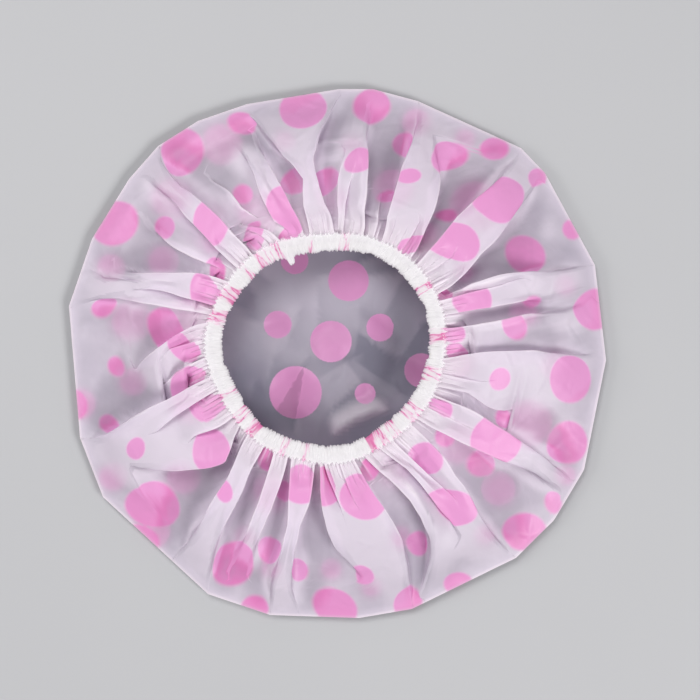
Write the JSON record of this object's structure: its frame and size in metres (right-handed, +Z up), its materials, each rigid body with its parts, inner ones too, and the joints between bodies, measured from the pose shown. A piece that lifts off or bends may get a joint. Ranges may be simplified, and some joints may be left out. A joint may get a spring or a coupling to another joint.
{
  "type": "hair drying cap",
  "caption": "Frosted film cap with printed dots and a gathered mouth on a sewn-in elastic, worn over the hair and shown lying crown down.",
  "frame": {"origin": "middle of the crown's resting face", "axes": "+Z up through the mouth, +X to the right and +Y to the top of the picture"},
  "size_m": [0.2799, 0.2756, 0.0313],
  "materials": {
    "film": "frosted film with printed pink dots",
    "elastic": "woven elastic",
    "thread": "spun thread"
  },
  "bodies": {
    "root": {"cap_film": "film", "elastic_band": "elastic", "needle_thread": "thread", "bobbin_thread": "thread"}
  },
  "joints": []
}
